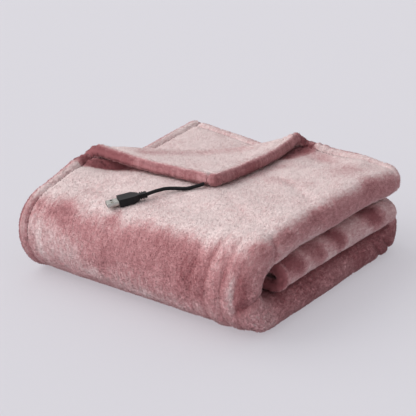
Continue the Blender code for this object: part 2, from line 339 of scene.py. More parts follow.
def turnCorner(x, y, z):
    # carries a point of the top layer over the corner's fold
    fromStart = Vector((x, y)) - foldStart
    past = fromStart.dot(foldOut)
    along = fromStart.dot(foldAlong)
    share = min(max(along / foldLength, 0.0), 1.0)
    towardHem = abs(2 * share - 1) ** 2.5
    rise = cloth["leftHemRise" if share < 0.5 else "backHemRise"] * towardHem
    hemBend = cloth["bendLeftHem" if share < 0.5 else "bendBackHem"]
    if past <= 0:
        z += rise * smooth(1 + past / cloth["hemRiseReach"]) - foldSink(share, -past)
        for dip in dips:
            away = (Vector((x, y)) - Vector(dip["middle"])).length
            z -= dip["depth"] * smooth(1 - away / dip["reach"]) * smooth(-past / cloth["dipEase"])
        return x, y, z
    bend = [low + (high - low) * towardHem for low, high in zip(cloth["bendMiddle"], hemBend)]
    turn = math.pi * math.sqrt((bend[0] ** 2 + bend[1] ** 2) / 2)
    foot = foldStart + foldAlong * along
    if past < turn:
        angle = math.pi * past / turn
        place = foot + foldOut * bend[0] * math.sin(angle)
        base = topLayer(foot.x, foot.y) + rise - foldSink(share, 0.0)
        return place.x, place.y, base + bend[1] * (1 - math.cos(angle))
    beyond = past - turn
    place = foot - foldOut * beyond
    settled = smooth((beyond - cloth["settleFrom"]) / cloth["settleLength"])
    high = 2 * bend[1] + rise
    height = high + (cloth["cornerGap"] - high) * settled - foldSink(share, beyond)
    return place.x, place.y, topLayer(place.x, place.y) + height


def soften(x, y, z):
    # rounds the bundle's right corners and lets the nose's left end and the back corner sink
    rounding, depthShare = cloth["rounding"], cloth["roundingDepth"]
    side = (x - cloth["rightX"] + rounding) / rounding
    if side > 0:
        middle = (cloth["backY"] + cloth["frontY"]) / 2
        reach = (cloth["backY"] - cloth["frontY"]) / 2
        depth = (abs(y - middle) - reach + rounding) / rounding
        if depth > 0:
            x -= rounding * depthShare * side * depth ** 2
            y -= math.copysign(rounding * depthShare * depth * side ** 2, y - middle)
    fromEnd = math.hypot(x - cloth["rightX"], y - cloth["backY"])
    z -= cloth["endDroop"] * (z / cloth["fullHeight"]) ** 2 * smooth(1 - fromEnd / cloth["droopReach"])
    noseY, noseZ = cloth["noseMiddle"]
    if z > noseZ:
        low = smooth(1 - abs(y - noseY) / cloth["noseReach"]) * smooth(-x / abs(cloth["leftX"]))
        z -= (z - noseZ) * cloth["noseDroop"] * low
    return x, y, z


def fromEdges(across, along):
    # how far a flat place is from the nearer side and the nearer end
    return min(across, clothWidth - across), min(along, clothLength - along)


def roundCorner(across, along):
    # draws the cut corners of the flat throw in to a round
    radius = cloth["cornerRound"]
    sideways, endways = fromEdges(across, along)
    if sideways >= radius or endways >= radius:
        return across, along
    u, v = 1 - sideways / radius, 1 - endways / radius
    sideways = radius * (1 - u * math.sqrt(1 - v * v / 2))
    endways = radius * (1 - v * math.sqrt(1 - u * u / 2))
    across = sideways if across < clothWidth / 2 else clothWidth - sideways
    along = endways if along < clothLength / 2 else clothLength - endways
    return across, along


def drape(across, along):
    # place of a point of the flat throw in the folded bundle
    across, along = roundCorner(across, along)
    x, offset, fuller = acrossStrip(across)
    run, y, z, outY, outZ = alongRuns(along)
    upper = run == 2
    if run == 0:
        offset *= 1 - cloth["innerSqueeze"] * (1 + outZ) / 2
    z += fuller * (-smooth((y - upperStart) / cloth["riseLength"]) if upper else (1 - outZ) / 2)
    if upper:
        short = cloth["slip"] * (turnX - x) / layerWidth if offset > 0 else 0.0
        y = upperStart + (y - upperStart) * (1 - max(short, 0.0) / runLengths[2])
    y += outY * offset
    z += outZ * offset
    if upper:
        z += upperLift(x, y)
        if offset > 0 and across < layerWidth:
            x, y, z = turnCorner(x, y, z)
        elif offset < 0:
            toCorner = math.hypot(x - cloth["leftX"], y - upperStart - runLengths[2])
            z += cloth["cornerLift"] * smooth(1 - toCorner / cloth["cornerReach"])
    return Vector(soften(x, y, z)) - bundleMiddle


# Grid lines over each stretch of the flat throw: its length, and how far apart they stand
hemStretch = 0.016
cornerStretch = 0.120
acrossStretches = [
    ("upper hem", hemStretch, 0.0016),
    ("upper layer", layerWidth - hemStretch, 0.0027),
    ("doubled edge", edgeTurn, 0.0026),
    ("second layer", layerWidth - cornerStretch - hemStretch, 0.0080),
    ("second corner", cornerStretch, 0.0040),
    ("second hem", hemStretch, 0.0018),
]
alongStretches = [
    ("inner hem", hemStretch, 0.0020),
    ("inner run", runLengths[0] - hemStretch, 0.0064),
    ("back turn", turnLengths[0], 0.0034),
    ("lower run", runLengths[1], 0.0056),
    ("nose", turnLengths[1], 0.0027),
    ("upper run", runLengths[2] - hemStretch, 0.0028),
    ("upper hem", hemStretch, 0.0016),
]

# Thickness across the hem: distance from the edge, and the share of the hem's own thickness.
# A round roll comes first, then the stitched groove, then the cloth.
hemProfile = [
    (0.0000, 0.30),
    (0.0008, 0.52),
    (0.0024, 0.82),
    (0.0060, 1.00),
    (0.0096, 0.90),
    (0.0120, 0.58),
    (0.0130, 0.36),
    (0.0142, 0.56),
    (0.0175, 0.73),
    (0.0230, 0.74),
]
# The two corners that show: how far they reach, and how their stitched ends pinch the roll
hemEnds = {
    "reach": 0.03,
    "inside": 0.002,
    "pinched": 0.50,
    "fuller": 0.54,
    "pinchReach": 0.0045,
    "tipFullness": 1.17,
}


def gridLines(stretches):
    places = [0.0]
    for name, length, gap in stretches:
        start = places[-1]
        steps = max(1, round(length / gap))
        places += [start + length * step / steps for step in range(1, steps + 1)]
    return places


def fromProfile(profile, distance):
    for (start, low), (end, high) in zip(profile, profile[1:]):
        if distance < end:
            return low + (high - low) * smooth((distance - start) / (end - start))
    return profile[-1][1]


def seamAway(across, along):
    # how far a point is from the nearest line of stitches
    sideways, endways = fromEdges(across, along)
    away = abs(min(sideways, endways) - cloth["hemWidth"])
    if across < cloth["hemWidth"] and along > clothLength / 2:
        away = min(away, abs(endways - cloth["hemWidth"]))
    if clothLength - along < cloth["hemWidth"] and across > clothWidth / 2:
        away = min(away, abs(sideways - cloth["hemWidth"]))
    return away


def hemShare(across, along):
    # the two corners that show are stitched across the roll, which leaves a round end
    sideways, endways = fromEdges(across, along)
    near, far = min(sideways, endways), max(sideways, endways)
    share = fromProfile(hemProfile, near)
    if far < hemEnds["reach"] and near < cloth["hemWidth"] - hemEnds["inside"]:
        fromSeam = smooth(seamAway(across, along) / hemEnds["pinchReach"])
        share *= hemEnds["pinched"] + hemEnds["fuller"] * fromSeam
        if far < cloth["hemWidth"]:
            share *= hemEnds["tipFullness"]
    return share


# Soft troughs and ridges on the flat throw:
# name, from (across, along), to, width, depth (below 0 is a trough)
noseFoot = noseAt + 0.012
creases = [
    ("nose fold 1", (0.243, upperAt - 0.012), (0.236, noseFoot + 0.012), 0.008, -0.001),
    ("nose fold 2", (0.262, upperAt - 0.004), (0.252, noseFoot + 0.01), 0.008, -0.0019),
    ("nose ridge", (0.27, upperAt - 0.01), (0.262, noseFoot), 0.006, 0.001),
    ("nose fold 3", (0.281, upperAt - 0.016), (0.274, noseFoot - 0.002), 0.007, -0.0022),
    ("nose fold 4", (0.296, upperAt - 0.038), (0.289, noseFoot - 0.01), 0.006, -0.0022),
    ("nose foot fold", (0.3, noseAt + 0.022), (0.283, noseAt - 0.004), 0.005, -0.0018),
    ("edge pinch 1", (0.298, upperAt + 0.004), (0.318, upperAt - 0.004), 0.009, -0.003),
    ("edge pinch 2", (0.296, noseAt + 0.044), (0.322, noseAt + 0.052), 0.008, -0.0026),
    ("pocket fold 1", (0.316, lowerAt + 0.016), (0.293, lowerAt - 0.016), 0.006, -0.0048),
    ("pocket fold 2", (0.317, lowerAt + 0.038), (0.291, lowerAt + 0.01), 0.006, -0.0044),
    ("pocket fold 3", (0.314, backTurnAt + 0.018), (0.295, backTurnAt + 0.038), 0.006, -0.004),
    ("back ridge 1", (0.304, backTurnAt - 0.034), (0.29, backTurnAt + 0.008), 0.007, 0.0016),
    ("back ridge 2", (0.31, backTurnAt - 0.058), (0.292, backTurnAt - 0.03), 0.008, -0.0014),
    ("top dent", (0.07, upperAt + 0.002), (0.096, upperAt + 0.016), 0.006, -0.001),
    ("plug dent", (0.1, upperAt - 0.012), (0.15, upperAt + 0.03), 0.011, -0.001),
    ("top sweep 1", (0.215, upperAt + 0.15), (0.285, upperAt + 0.1), 0.011, -0.0012),
    ("top sweep 2", (0.205, upperAt + 0.06), (0.262, upperAt + 0.02), 0.013, -0.001),
    ("curl wrinkle 1", (0.006, 0.712), (0.032, 0.727), 0.0036, -0.0024),
    ("curl wrinkle 2", (0.006, 0.722), (0.036, 0.738), 0.0036, -0.0026),
    ("curl wrinkle 3", (0.01, 0.734), (0.04, 0.749), 0.0036, -0.0022),
    ("back curl wrinkle 1", (0.156, 0.921), (0.165, 0.896), 0.0034, -0.0024),
    ("back curl wrinkle 2", (0.167, 0.921), (0.176, 0.896), 0.0034, -0.0024),
    ("back curl wrinkle 3", (0.179, 0.921), (0.188, 0.897), 0.0034, -0.0022),
    ("nose side ripple", (0.024, upperAt - 0.012), (0.027, noseAt + 0.016), 0.006, -0.0009),
]
# How far a crease runs on past its ends and over what it fades, as shares of its length
creaseEnds = {"runOut": 0.25, "fade": 0.4}
# Short gathers where the stiff hems cross the corner's fold
gathers = {
    "wave": 0.0090,
    "depth": 0.0019,
    "bendMiddle": 0.012,
    "hemReach": 0.036,
    "bendReach": 0.030,
}


def creaseRelief(across, along):
    relief = 0.0
    runOut, fade = creaseEnds["runOut"], creaseEnds["fade"]
    for name, start, end, width, depth in creases:
        span = Vector(end) - Vector(start)
        place = Vector((across, along)) - Vector(start)
        share = place.dot(span) / span.length_squared
        if -runOut < share < 1 + runOut:
            away = abs(place.cross(span)) / span.length
            if away < width:
                ends = smooth(min(share + runOut, 1 + runOut - share) / fade)
                relief += depth * ends * smooth(1 - away / width)
    return relief


def gatherRelief(across, along):
    # only on the turned corner, near its hems and its fold
    if along < upperAt or across > layerWidth:
        return 0.0
    slip = cloth["slip"] * (1 - across / layerWidth) / runLengths[2]
    y = upperStart + (along - upperAt) * (1 - slip)
    past = (Vector((cloth["leftX"] + across, y)) - foldStart).dot(foldOut)
    nearFold = smooth(1 - abs(past - gathers["bendMiddle"]) / gathers["bendReach"])
    ends = clothLength - along
    nearHem = smooth(1 - min(across, ends) / gathers["hemReach"])
    phase = along if across < ends else across
    return gathers["depth"] * nearFold * nearHem * math.sin(2 * math.pi * phase / gathers["wave"])


def ripple(across, along, waves):
    # noise on the flat throw: each wave has its counts a metre, its level in the noise and its share
    total = 0
    for sideCount, lengthCount, level, share in waves:
        total += share * noise.noise(Vector((across * sideCount, along * lengthCount, level)))
    return total


# How light the pile lies on each part of the throw, before the patches; the pale top is partly painted
# light, and the darker side and low run are partly painted shade
napAndLightLevels = {
    "top": 0.92,
    "front": 0.46,
    "side": 0.36,
    "low": 0.16,
    "inner": 0.62,
    "brow": 0.632,            # how far along the throw the pale top gives way to the front
    "browReach": 0.011,
    "browWander": 0.012,
    "browWaves": ((26, 12, 5.3, 1.0), (75, 30, 2.9, 0.5)),
    "lowFrom": 0.010,         # past the back turn's start
    "lowReach": 0.030,
    "frontFrom": 0.025,       # ahead of the nose
    "frontReach": 0.050,
    "sideFrom": 0.002,        # past the doubled edge's middle
    "sideReach": 0.012,
    "sideEnd": 0.030,         # ahead of the upper run
}
# Lighter and darker patches on the pile, in metres from the middle of the base; some are the pile's own
# tone, many are painted shade (inside the curls, under the hems, in troughs and on the side) and painted
# light (on the tip, crests, ridges and edges):
# name, from, to (or None for a round one), reach each way, how much lighter, how firm its edge is
napAndLightPatches = [
    # painted light on the nose's crest at its right end
    ("brow at the right", (0.122, -0.14, 0.093), None, (0.022, 0.022, 0.02), 0.08, 1.0),
    ("red patch left", (-0.1, -0.15, 0.082), None, (0.036, 0.02, 0.018), -0.14, 1.0),
    ("red patch middle", (0.05, -0.15, 0.08), None, (0.07, 0.02, 0.022), -0.12, 1.0),
    ("streak left", (-0.124, -0.165, 0.045), None, (0.012, 0.02, 0.034), 0.24, 1.0),
    ("streak low 1", (-0.053, -0.16, 0.028), None, (0.03, 0.02, 0.014), 0.22, 1.0),
    ("streak low 2", (0.024, -0.155, 0.022), None, (0.034, 0.02, 0.01), 0.2, 1.0),
    ("streak low 3", (0.092, -0.16, 0.028), None, (0.022, 0.02, 0.016), 0.22, 1.0),
    ("front, low light", (-0.12, -0.165, 0.02), (0.06, -0.165, 0.012), (0.04, 0.03, 0.034), 0.3, 1.0),
    ("front, right shade", (0.085, -0.165, 0.06), None, (0.044, 0.03, 0.044), -0.24, 1.0),
    ("front, middle shade", (0.01, -0.165, 0.06), None, (0.07, 0.03, 0.024), -0.08, 1.0),
    ("shade left of the plug", (-0.08, -0.118, 0.098), None, (0.045, 0.018, 0.014), -0.16, 1.0),
    # painted highlights on the ridges and painted shade in the trough of the folds at the nose's right
    # end
    ("end ridge", (0.131, -0.16, 0.055), None, (0.006, 0.02, 0.042), 0.34, 1.0),
    ("end ridge 2", (0.118, -0.162, 0.04), None, (0.005, 0.02, 0.034), 0.2, 1.0),
    ("end trough 2", (0.125, -0.16, 0.07), None, (0.005, 0.02, 0.022), -0.26, 1.0),
    # the right side: dark blotches, partly the pile's tone and partly painted shade, and pale streaks,
    # painted highlights where its bulges catch the light
    ("side blotch 1", (0.146, -0.134, 0.094), None, (0.016, 0.018, 0.014), -0.44, 1.0),
    ("top side, fore", (0.152, -0.1, 0.08), (0.156, -0.04, 0.084), (0.016, 0.02, 0.016), 0.22, 1.0),
    ("side blotch 2", (0.15, -0.094, 0.098), None, (0.012, 0.02, 0.012), -0.3, 1.0),
    ("side blotch 3", (0.15, -0.034, 0.101), None, (0.012, 0.03, 0.012), -0.26, 1.0),
    ("side blotch 4", (0.148, 0.085, 0.103), None, (0.018, 0.034, 0.012), -0.34, 1.0),
    ("side light 0", (0.156, -0.112, 0.09), None, (0.012, 0.016, 0.012), 0.34, 1.0),
    ("side light 1", (0.16, -0.06, 0.086), None, (0.014, 0.04, 0.008), 0.34, 1.0),
    ("side light 2", (0.16, 0.03, 0.088), None, (0.014, 0.06, 0.009), 0.34, 1.0),
    ("low light", (0.154, 0.024, 0.024), None, (0.016, 0.024, 0.01), 0.26, 1.0),
    # painted shade inside the left curl, under its roll
    ("inside the left curl", (-0.142, -0.063, 0.105), (-0.104, -0.039, 0.099),
     (0.018, 0.0125, 0.015), -0.85, 1.4),
    # painted shade where the left and back hems cross the corner's fold
    ("left crossing", (-0.147, -0.062, 0.113), None, (0.018, 0.02, 0.012), -0.55, 1.3),
    ("right crossing", (0.029, 0.136, 0.112), None, (0.016, 0.018, 0.012), -0.45, 1.3),
    ("back hem's left piece", (-0.148, 0.15, 0.1), (-0.148, 0.06, 0.104),
     (0.014, 0.03, 0.016), 0.16, 1.0),
    ("left hem, low front", (-0.15, -0.16, 0.04), (-0.15, -0.15, 0.08),
     (0.012, 0.03, 0.03), 0.14, 1.0),
    ("shade at the right hem", (0.024, -0.04, 0.103), (0.044, 0.07, 0.103),
     (0.014, 0.02, 0.014), -0.16, 1.0),
    # painted light on the top of the corner's tip
    ("tip", (0.014, -0.052, 0.12), None, (0.018, 0.018, 0.01), 0.36, 1.0),
    # painted shade under the left hem, inside and past the right curl, and on the left hem roll's lower
    # side
    ("under the left hem", (-0.104, -0.042, 0.098), (-0.074, -0.044, 0.1),
     (0.018, 0.012, 0.012), -0.45, 1.0),
    ("inside the right curl", (0.032, 0.13, 0.103), (0.027, 0.094, 0.101),
     (0.018, 0.018, 0.014), -0.75, 1.3),
    ("past the right curl", (0.04, 0.124, 0.102), (0.072, 0.122, 0.101), (0.02, 0.02, 0.014), -0.3, 1.0),
    ("left hem's low side", (-0.14, -0.055, 0.118), (-0.095, -0.055, 0.116),
     (0.02, 0.012, 0.012), -0.24, 1.0),
    ("flap band", (-0.086, -0.024, 0.117), (-0.014, 0.072, 0.113), (0.026, 0.016, 0.016), -0.26, 1.0),
    # painted shade on the middle band of the right side
    ("middle band shade 1", (0.146, -0.086, 0.062), (0.15, -0.07, 0.056), (0.026, 0.018, 0.014), -0.62, 1.0),
    ("middle band shade 2", (0.146, -0.044, 0.064), (0.152, -0.03, 0.056), (0.026, 0.016, 0.014), -0.4, 1.0),
    ("middle band shade 3", (0.144, 0.002, 0.064), (0.151, 0.012, 0.056), (0.026, 0.018, 0.014), -0.62, 1.0),
    ("middle band shade 4", (0.14, 0.08, 0.064), (0.15, 0.092, 0.056), (0.026, 0.024, 0.014), -0.6, 1.0),
    ("middle light", (0.156, -0.07, 0.046), (0.156, 0.08, 0.046), (0.014, 0.03, 0.01), 0.26, 1.0),
    # painted shade in the nose end's outer trough and a painted highlight along its edge
    ("end trough", (0.144, -0.157, 0.078), (0.141, -0.16, 0.036), (0.009, 0.014, 0.014), -0.46, 1.3),
    ("end edge", (0.155, -0.146, 0.08), (0.152, -0.15, 0.034), (0.006, 0.012, 0.014), 0.42, 1.3),
    ("front, left end", (-0.13, -0.16, 0.06), (-0.08, -0.165, 0.05), (0.034, 0.03, 0.03), 0.24, 1.0),
    ("low side, fore", (0.152, -0.12, 0.016), (0.156, 0.04, 0.016), (0.02, 0.03, 0.02), 0.14, 1.0),
    ("top sweep", (0.06, 0.02, 0.106), None, (0.07, 0.02, 0.02), -0.14, 1.0),
    ("top sweep 2", (0.11, 0.09, 0.107), None, (0.044, 0.064, 0.014), -0.26, 1.0),
    ("top sweep 3", (-0.12, -0.1, 0.104), None, (0.03, 0.024, 0.012), -0.12, 1.0),
]


def patchAway(place, at, to, reach):
    # the distance from a patch's middle, or from its line where it has one, in its own reaches
    start = Vector(at)
    line = Vector(to or at) - start
    share = (place - start).dot(line) / line.length_squared if line.length else 0.0
    nearest = start + line * min(max(share, 0.0), 1.0)
    return Vector([(place[axis] - nearest[axis]) / reach[axis] for axis in range(3)]).length


def napAndLightAt(place, across, along):
    # how light the pile lies, with painted light and shade in it: first by the part of the throw, then
    # by the patches
    nap = napAndLightLevels["inner"]
    past = along - backTurnAt - napAndLightLevels["lowFrom"]
    nap += (napAndLightLevels["low"] - nap) * smooth(past / napAndLightLevels["lowReach"])
    past = along - noseAt + napAndLightLevels["frontFrom"]
    nap += (napAndLightLevels["front"] - nap) * smooth(past / napAndLightLevels["frontReach"])
    wander = napAndLightLevels["browWander"] * ripple(across, along, napAndLightLevels["browWaves"])
    past = along + wander - napAndLightLevels["brow"]
    nap += (napAndLightLevels["top"] - nap) * smooth(past / napAndLightLevels["browReach"] / 2 + 0.5)
    toSide = smooth((place.x + bundleMiddle.x - turnX - napAndLightLevels["sideFrom"]) / napAndLightLevels["sideReach"])
    upper = smooth((along - upperAt + napAndLightLevels["sideEnd"]) / napAndLightLevels["sideEnd"])
    nap += (napAndLightLevels["side"] - nap) * toSide * upper
    for name, at, to, reach, lighter, firm in napAndLightPatches:
        nap += lighter * smooth((1 - patchAway(place, at, to, reach)) * firm)
    return nap


def bakePlace(across, along):
    # where a flat place lies on the export's bake map, whose width stands for bakeSpan
    return bakeMargin + across / bakeSpan, bakeMargin + along / bakeSpan


def makeThrow():
    acrossLines, alongLines = gridLines(acrossStretches), gridLines(alongStretches)
    columns, rows = len(acrossLines) - 1, len(alongLines) - 1
    grid = bmesh.new()
    bmesh.ops.create_grid(grid, x_segments=columns, y_segments=rows, size=0.5)
    laidMap = grid.loops.layers.uv.new("laid")
    bakeMap = grid.loops.layers.uv.new("OFBake")
    napAndLightLayer = grid.verts.layers.float.new("nap")
    weightLayer = grid.verts.layers.deform.verify()
    flatPlaces = {}
    for vert in grid.verts:
        across = acrossLines[round((vert.co.x + 0.5) * columns)]
        along = alongLines[round((vert.co.y + 0.5) * rows)]
        flatPlaces[vert] = (across, along)
        vert.co = drape(across, along)
    for face in grid.faces:
        for loop in face.loops:
            loop[laidMap].uv = flatPlaces[loop.vert]
            loop[bakeMap].uv = bakePlace(*flatPlaces[loop.vert])
    grid.normal_update()
    moves = []
    for vert in grid.verts:
        across, along = flatPlaces[vert]
        crease = creaseRelief(across, along)
        relief = crease + gatherRelief(across, along)
        relief += cloth["unevenness"] * ripple(across, along, cloth["unevenWaves"])
        moves.append(vert.normal * relief)
        # painted shade in the creases' troughs and painted light on their ridges
        vert[napAndLightLayer] = napAndLightAt(vert.co, across, along) + crease * cloth["creasePaintedShade"]
        vert[weightLayer][0] = hemShare(across, along)
    for vert, move in zip(grid.verts, moves):
        vert.co += move
        vert.co.z = max(vert.co.z, vert[weightLayer][0] * cloth["hem"] / 2)
    throw = keepMesh("plush_throw", grid)
    throw.vertex_groups.new(name="thickness")
    thickness = throw.modifiers.new("thickness", "SOLIDIFY")
    thickness.thickness = cloth["hem"]
    thickness.offset = 0.0
    thickness.vertex_group = "thickness"
    thickness.use_quality_normals = True
    throw.data.shade_smooth()
    throw.data.materials.append(makePlush("rose_plush", True))
    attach(throw, "root")
    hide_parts("blanket_cloth")
    size = "%.4f x %.4f m flat" % (clothWidth, clothLength)
    print("throw:", len(throw.data.polygons), "faces,", size)
    return throw


plush = {
    "deep": (0.330, 0.115, 0.125),
    "middle": (0.600, 0.305, 0.315),
    "pale": (0.930, 0.770, 0.755),
    "seam": (0.130, 0.040, 0.046),
    "stops": (0.12, 0.50, 0.95),      # how light the pile lies at each of the three colours
    "wideSize": 0.045,
    "streakSize": 0.0150,
    "clumpSize": 0.0026,
    "tipSize": 0.0011,
    "combing": (1.0, 0.42, 1.0),      # streaks and clumps are longer along the throw
    "wideShare": 0.30,
    "streakShare": 0.34,
    "clumpShare": 0.66,
    "tipShare": 0.58,
    "hemShade": 0.08,
    # painted shade on the hem roll's underside: how much darker, and over which distances from the edge
    "rimPaintedShade": 0.56,
    "rim": (0.0012, 0.0074),
    "roughness": 0.95,
    "specular": 0.2,
    "sheen": 0.22,
    "tuftSheen": 0.12,
    "sheenRoughness": 0.45,
    "sheenTint": (1.0, 0.82, 0.82),
    "bumpStrength": 0.55,
    "bumpDepth": 0.0016,
}
seamLine = {
    "reach": (0.0003, 0.0013, 0.80, 0.0),    # how it fades away from its middle
    "endLength": 0.030,                      # how long the lines across the two hem ends are
    "edge": 0.001,
    "end": 0.0003,
}


def makePlush(name, bumpy):
    material, shader, place = startMaterial(name, {
        "Roughness": plush["roughness"],
        "Specular IOR Level": plush["specular"],
        "Sheen Weight": plush["sheen"] if bumpy else plush["tuftSheen"],
        "Sheen Roughness": plush["sheenRoughness"],
        "Sheen Tint": (*plush["sheenTint"], 1.0),
    })
    laid = place.node("UVMap", {"uv_map": "laid"})
    nap = place.node("Attribute", {"attribute_name": "nap", "attribute_type": "GEOMETRY"}, outlet=2)
    across = laid.node("SeparateXYZ", Vector=laid)
    along = Flow(across.tree, across.socket.node.outputs[1])
    combed = laid.stretched(plush["combing"])
    wide = laid.spread(plush["wideSize"], 3.0, 0.55)
    streaks = combed.spread(plush["streakSize"], 4.0, 0.6)
    clumps = combed.spread(plush["clumpSize"], 3.0, 0.65)
    tips = place.spread(plush["tipSize"], 2.0, 0.6)
    # the pile value holds the pile's lie together with painted light and shade
    lieAndLight = nap + (wide - 0.5) * plush["wideShare"] + (streaks - 0.5) * plush["streakShare"]
    lieAndLight = lieAndLight + (clumps - 0.5) * plush["clumpShare"] + (tips - 0.5) * plush["tipShare"]
    sideways = across.math("MINIMUM", across, clothWidth - across)
    endways = along.math("MINIMUM", along, clothLength - along)
    edge = sideways.math("MINIMUM", sideways, endways)
    onHem = edge.between(cloth["hemWidth"] - 0.001, cloth["hemWidth"] + 0.001, 1.0, 0.0)
    # painted shade: the hem roll's outer edge, its shaded underside, is painted darker
    onRim = edge.between(*plush["rim"], 1.0, 0.0)
    lieAndLight = lieAndLight - onHem * plush["hemShade"] - onRim * plush["rimPaintedShade"]
    stops = list(zip(plush["stops"], (plush["deep"], plush["middle"], plush["pale"])))
    colour = lieAndLight.node("ValToRGB", {"stops": stops}, Fac=lieAndLight)
    seam = makeSeamMask(across, along, sideways, endways, edge)
    wire(shader, "Base Color", seam.blend(colour, plush["seam"]))
    if bumpy:
        height = clumps + tips * 0.45 + streaks * 0.8
        wire(shader, "Normal", height.bump(plush["bumpStrength"], plush["bumpDepth"]))
    return material


def makeSeamMask(across, along, sideways, endways, edge):
    # a fine line of stitches inside every hem, and across the two hem ends that show
    hem, reach = cloth["hemWidth"], seamLine["reach"]
    line = edge.math("ABSOLUTE", edge - hem)
    endLine = edge.math("ABSOLUTE", endways - hem)
    sideLine = edge.math("ABSOLUTE", sideways - hem)
    end, edgeReach = seamLine["endLength"], seamLine["edge"]
    farEnd = along.between(clothLength - end - edgeReach, clothLength - end)
    farSide = across.between(clothWidth - end - edgeReach, clothWidth - end)
    onTip = across.between(hem, hem + seamLine["end"], 1.0, 0.0) * farEnd
    onBack = endways.between(hem, hem + seamLine["end"], 1.0, 0.0) * farSide
    mask = line.between(*reach)
    mask = mask.math("MAXIMUM", mask, endLine.between(*reach) * onTip)
    return mask.math("MAXIMUM", mask, sideLine.between(*reach) * onBack * farEnd)


# The pile: short tufts that stand nearly upright on the open parts of the throw
pile = {
    "pieces": 4,
    "tufts": 58500,           # in each piece
    "seed": 11,
    "looks": 7,               # rays from each place that tell whether it is open
    "lookReach": 0.20,
    "lookLift": 0.0008,
    "lookSpread": 1.05,       # how close to upright the rays stay
    "lookLow": -0.35,         # rays that point lower than this end on the floor
    "fullyOpen": 0.20,        # the share of open rays from which the pile is at its thickest
    "bakeSpread": 1.1,
    "height": 0.0012,
    "shortest": 0.6,
    "taller": 0.7,
    "thickness": 0.00085,
    "thinnest": 0.7,
    "thicker": 0.6,
    "rootDepth": 0.0004,
    "lean": 0.0005,
    "stray": 0.0006,
    "ruffle": 0.12,           # how unevenly the tufts catch the light
    "seamGap": 0.0016,
}


def readAll(items, key, width, kind=np.float32):
    values = np.empty(len(items) * width, kind)
    items.foreach_get(key, values)
    return values.reshape(-1, width)


def surfaceOf(piece):
    # corners, flat places and pile of the finished cloth's faces
    graph = bpy.context.evaluated_depsgraph_get()
    mesh = piece.evaluated_get(graph).to_mesh()
    mesh.calc_loop_triangles()
    corners = readAll(mesh.loop_triangles, "loops", 3, np.int32)
    verts = readAll(mesh.loops, "vertex_index", 1, np.int32)[corners, 0]
    places = readAll(mesh.vertices, "co", 3)
    laid = readAll(mesh.uv_layers["laid"].uv, "vector", 2)
    nap = readAll(mesh.attributes["nap"].data, "value", 1)
    return places[verts], laid[corners], nap[verts, 0]


def turned(sides, flatSides, turn):
    # the directions on each face in which across and along grow
    first, second = sides[:, 0], sides[:, 1]
    acrossWay = first * flatSides[:, 1, 1:2] - second * flatSides[:, 0, 1:2]
    alongWay = second * flatSides[:, 0, 0:1] - first * flatSides[:, 1, 0:1]
    return acrossWay / turn[:, None], alongWay / turn[:, None]


def openShares(throw, centres, normals):
    # how much of the sky each place sees past the cloth and the floor
    graph = bpy.context.evaluated_depsgraph_get()
    tree = BVHTree.FromObject(throw, graph)
    chance = np.random.default_rng(pile["seed"] + 1)
    ways = chance.normal(0, 1, (len(centres), pile["looks"], 3))
    ways /= np.linalg.norm(ways, axis=2)[:, :, None]
    ways = ways + normals[:, None, :] * pile["lookSpread"]
    shares = np.zeros(len(centres))
    starts = centres + normals * pile["lookLift"]
    for number, (start, looks) in enumerate(zip(starts.tolist(), ways.tolist())):
        for way in looks:
            if way[2] > pile["lookLow"] and tree.ray_cast(start, way, pile["lookReach"])[0] is None:
                shares[number] += 1
    return shares / pile["looks"]


def pileGround(throw):
    # the faces that tufts stand on: corners, flat places, pile, normals, the pile's way and worth
    places, laid, nap = surfaceOf(throw)
    sides = places[:, 1:] - places[:, :1]
    crosses = np.cross(sides[:, 0], sides[:, 1])
    areas = np.linalg.norm(crosses, axis=1) / 2
    normals = crosses / np.maximum(areas * 2, 1e-12)[:, None]
    # the throw's length on each face, from how its flat places change
    flatSides = laid[:, 1:] - laid[:, :1]
    turn = flatSides[:, 0, 0] * flatSides[:, 1, 1] - flatSides[:, 0, 1] * flatSides[:, 1, 0]
    turn = np.where(np.abs(turn) < 1e-12, 1e-12, turn)
    acrossWay, downward = turned(sides, flatSides, turn)
    facing = (crosses * np.cross(acrossWay, downward)).sum(1) > 0
    downward = downward / np.maximum(np.linalg.norm(downward, axis=1), 1e-9)[:, None]
    # on the turned corner's inner side the pile lies the other way
    outer = facing | (laid[:, 0, 0] > layerWidth)
    downward *= np.where(outer, 1.0, -1.0)[:, None]
    openness = openShares(throw, places.mean(1)[::2], normals[::2])
    openness = np.repeat(openness, 2)[:len(areas)]
    worth = areas * np.minimum(openness / pile["fullyOpen"], 1.0)
    opened = float((areas * (openness > 0)).sum())
    print("open cloth:", round(opened, 3), "of", round(float(areas.sum()), 3), "m2")
    return places, laid, nap, normals, downward, worth / worth.sum()


